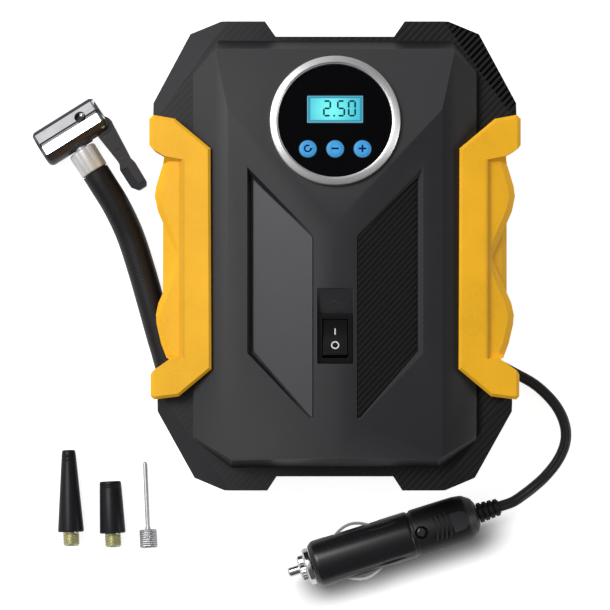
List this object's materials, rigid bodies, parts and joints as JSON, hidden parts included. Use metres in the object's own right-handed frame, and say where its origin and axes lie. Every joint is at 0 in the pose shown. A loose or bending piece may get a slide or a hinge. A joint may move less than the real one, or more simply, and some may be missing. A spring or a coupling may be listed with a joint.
{
  "type": "portable tire inflator",
  "caption": "Faceted portable tire inflator with side grips, round digital gauge, rocker switch, hose with lever chuck, 12 V lead with plug, and loose nozzles.",
  "frame": {"origin": "middle of the boss face on the back, on the plane of the back feet", "axes": "+X to the right and +Y up the front panel, +Z out of the front panel; the inflator lies on its back"},
  "size_m": [0.2404, 0.2474, 0.0713],
  "materials": {
    "shell": "fine satin texture",
    "panel": "finely ribbed",
    "grip": "satin",
    "black_plastic": "gloss",
    "chrome": "polished",
    "steel": "brushed",
    "rubber": "matte",
    "display": "backlit glass",
    "button": "satin",
    "board": "coated",
    "brass": "turned",
    "aluminium": "cast",
    "nylon": "moulded"
  },
  "bodies": {
    "case": {"front_case": "shell", "rear_case": "shell", "foot_1": "rubber", "foot_2": "rubber", "foot_3": "rubber", "foot_4": "rubber", "grip_right": "grip", "grip_left": "grip", "panel_right": "panel", "panel_left": "panel", "gauge_ring": "chrome", "gauge_face": "black_plastic", "lcd_module": "display", "display_board": "board", "switch_housing": "black_plastic", "motor_can": "steel", "motor_end_cap": "black_plastic", "crank_axle": "steel", "drive_bracket": "steel", "cylinder": "aluminium", "cylinder_head": "aluminium", "pressure_sensor": "black_plastic", "air_line": "rubber", "hose_fitting": "brass", "air_hose": "rubber", "chuck_body": "chrome", "chuck_seal": "rubber", "chuck_pin": "steel", "hose_ferrule": "chrome", "cord_coil": "rubber", "cord_gland": "rubber", "coil_strap": "rubber", "cord_lead": "rubber", "plug_barrel": "black_plastic", "plug_grip": "black_plastic", "plug_screw": "steel", "plug_ring": "chrome", "plug_relief": "rubber"},
    "rocker": {"switch_rocker": "black_plastic"},
    "reset_button": {"button_reset": "button"},
    "minus_button": {"button_minus": "button"},
    "plus_button": {"button_plus": "button"},
    "lever": {"chuck_lever": "black_plastic"},
    "plunger": {"chuck_plunger": "brass"},
    "tip_contact": {"plug_tip": "chrome"},
    "upper_leaf": {"contact_upper": "chrome"},
    "lower_leaf": {"contact_lower": "chrome"},
    "armature": {"motor_armature": "steel", "motor_pinion": "brass", "cooling_fan": "black_plastic"},
    "crank": {"crank_gear": "nylon"},
    "piston": {"piston_rod": "nylon", "piston_cup": "rubber"},
    "long_nozzle": {"nozzle_long": "black_plastic", "nozzle_long_thread": "brass"},
    "short_nozzle": {"nozzle_short": "black_plastic", "nozzle_short_thread": "brass"},
    "ball_needle": {"needle": "chrome"}
  },
  "joints": [
    {"name": "rocker_tilt", "type": "hinge", "parent": "case", "child": "rocker", "pos_m": [0, -0.03565, 0.0644], "axis": [1, 0, 0], "range_deg": [0, 20]},
    {"name": "reset_press", "type": "slide", "parent": "case", "child": "reset_button", "axis": [0, -0.1013, -0.9949], "range_m": [0, 0.0008], "stiffness_N_per_m": 300},
    {"name": "minus_press", "type": "slide", "parent": "case", "child": "minus_button", "axis": [0, -0.1013, -0.9949], "range_m": [0, 0.0008], "stiffness_N_per_m": 300},
    {"name": "plus_press", "type": "slide", "parent": "case", "child": "plus_button", "axis": [0, -0.1013, -0.9949], "range_m": [0, 0.0008], "stiffness_N_per_m": 300},
    {"name": "lever_swing", "type": "hinge", "parent": "case", "child": "lever", "pos_m": [-0.10277, 0.05803, 0.0086], "axis": [0, 0, 1], "range_deg": [0, 88]},
    {"name": "plunger_slide", "type": "slide", "parent": "case", "child": "plunger", "axis": [-0.848, -0.5299, 0], "range_m": [0, 0.0025]},
    {"name": "tip_press", "type": "slide", "parent": "case", "child": "tip_contact", "axis": [0.954, 0.2999, 0], "range_m": [0, 0.0025], "stiffness_N_per_m": 600},
    {"name": "upper_leaf_flex", "type": "hinge", "parent": "case", "child": "upper_leaf", "pos_m": [-0.00316, -0.12729, 0.0107], "axis": [0, 0, -1], "range_deg": [0, 5], "stiffness_Nm_per_rad": 0.4},
    {"name": "lower_leaf_flex", "type": "hinge", "parent": "case", "child": "lower_leaf", "pos_m": [0.00128, -0.14141, 0.0107], "axis": [0, 0, 1], "range_deg": [0, 5], "stiffness_Nm_per_rad": 0.4},
    {"name": "motor_spin", "type": "hinge", "parent": "case", "child": "armature", "pos_m": [0, -0.072, 0.0425], "axis": [1, 0, 0], "continuous": true},
    {"name": "crank_spin", "type": "hinge", "parent": "case", "child": "crank", "pos_m": [0, -0.05355, 0.0425], "axis": [1, 0, 0], "continuous": true},
    {"name": "piston_slide", "type": "slide", "parent": "case", "child": "piston", "axis": [0, 1, 0], "range_m": [-0.014, 0]},
    {"name": "long_nozzle_lift", "type": "slide", "parent": "case", "child": "long_nozzle", "axis": [0, 0, 1], "range_m": [0, 0.04]},
    {"name": "short_nozzle_lift", "type": "slide", "parent": "case", "child": "short_nozzle", "axis": [0, 0, 1], "range_m": [0, 0.04]},
    {"name": "needle_lift", "type": "slide", "parent": "case", "child": "ball_needle", "axis": [0, 0, 1], "range_m": [0, 0.04]}
  ],
  "couplings": [
    {"joint": "plunger_slide", "follows": "lever_swing", "m_per_rad": 0.0016},
    {"joint": "crank_spin", "follows": "motor_spin", "ratio": -0.28125}
  ]
}
